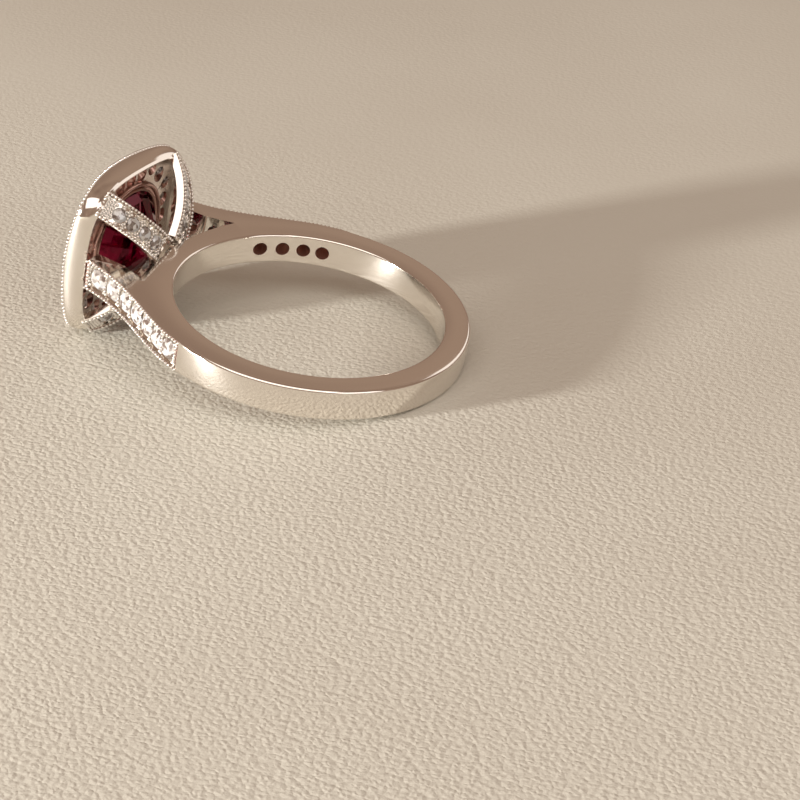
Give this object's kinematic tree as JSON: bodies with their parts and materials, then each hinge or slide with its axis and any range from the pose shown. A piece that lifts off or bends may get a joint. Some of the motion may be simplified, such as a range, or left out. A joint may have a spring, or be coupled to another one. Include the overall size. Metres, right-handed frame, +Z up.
{
  "type": "cocktail ring",
  "caption": "Cocktail ring lying on its side: cushion-framed ruby head with a diamond halo, on bowed diamond-set struts over a pave-set cathedral band.",
  "frame": {"origin": "middle of the bounding box's underside, on the surface that the ring rests on", "axes": "+Z up off the table with the ring lying on its side; the head points along -X; Y = 0 is the plane of symmetry, +Y is one side of the band"},
  "size_m": [0.0254, 0.0206, 0.0106],
  "materials": {
    "white_metal": "mirror polished white gold or platinum",
    "ruby": "faceted transparent deep red",
    "diamond": "faceted clear colourless"
  },
  "bodies": {
    "root": {"shank": "white_metal", "head_base": "white_metal", "head_frame": "white_metal", "halo_plate": "white_metal", "ruby_collet": "white_metal", "ruby": "ruby", "strut_near_top": "white_metal", "strut_far_top": "white_metal", "strut_far_bottom": "white_metal", "strut_near_bottom": "white_metal", "strut_diamonds_near_top": "diamond", "strut_diamonds_far_top": "diamond", "strut_diamonds_far_bottom": "diamond", "strut_diamonds_near_bottom": "diamond", "halo_diamonds_near": "diamond", "halo_diamonds_top": "diamond", "halo_diamonds_far": "diamond", "halo_diamonds_bottom": "diamond", "halo_corner_diamonds": "diamond", "shoulder_diamond_near_1": "diamond", "shoulder_diamond_near_2": "diamond", "shoulder_diamond_near_3": "diamond", "shoulder_diamond_near_4": "diamond", "shoulder_diamond_near_5": "diamond", "shoulder_diamond_near_6": "diamond", "shoulder_diamond_near_7": "diamond", "shoulder_diamond_far_1": "diamond", "shoulder_diamond_far_2": "diamond", "shoulder_diamond_far_3": "diamond", "shoulder_diamond_far_4": "diamond", "shoulder_diamond_far_5": "diamond", "shoulder_diamond_far_6": "diamond", "shoulder_diamond_far_7": "diamond"}
  },
  "joints": []
}
